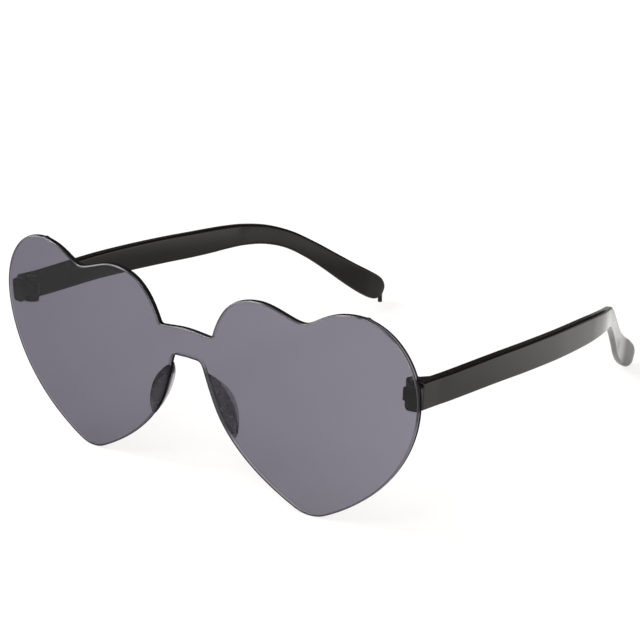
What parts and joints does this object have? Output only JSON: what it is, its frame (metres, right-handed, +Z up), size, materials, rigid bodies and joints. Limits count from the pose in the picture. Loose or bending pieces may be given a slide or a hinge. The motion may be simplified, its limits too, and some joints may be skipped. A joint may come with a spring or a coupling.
{
  "type": "heart shaped sunglasses",
  "caption": "Sunglasses with a wrapped smoke-tinted front cut as joined hearts, bonded nose pads and end pieces, and screwed temples that fold inward.",
  "frame": {"origin": "middle of the bounding box's base, on the surface that the sunglasses stand on with their temples open", "axes": "+Z up, -Y the way the wearer looks, +X the wearer's left"},
  "size_m": [0.146, 0.1548, 0.0594],
  "materials": {
    "smoke_sheet": "transparent smoke tint, polished",
    "smoke_pad": "dark smoke tint, polished",
    "black_block": "black, satin",
    "black_temple": "black, polished",
    "screw_steel": "plated, worn bright"
  },
  "bodies": {
    "front": {"heart_front": "smoke_sheet", "nose_pad_left": "smoke_pad", "nose_pad_right": "smoke_pad", "end_piece_left": "black_block", "end_piece_right": "black_block"},
    "temple_left_arm": {"temple_left": "black_temple", "hinge_screw_left": "screw_steel"},
    "temple_right_arm": {"temple_right": "black_temple", "hinge_screw_right": "screw_steel"}
  },
  "joints": [
    {"name": "temple_left_fold", "type": "hinge", "parent": "front", "child": "temple_left_arm", "pos_m": [0.0676, -0.06641, 0.03953], "axis": [0, 0.0881, 0.9961], "range_deg": [0, 82]},
    {"name": "temple_right_fold", "type": "hinge", "parent": "front", "child": "temple_right_arm", "pos_m": [-0.0676, -0.06641, 0.03953], "axis": [0, -0.0881, -0.9961], "range_deg": [0, 72]}
  ]
}
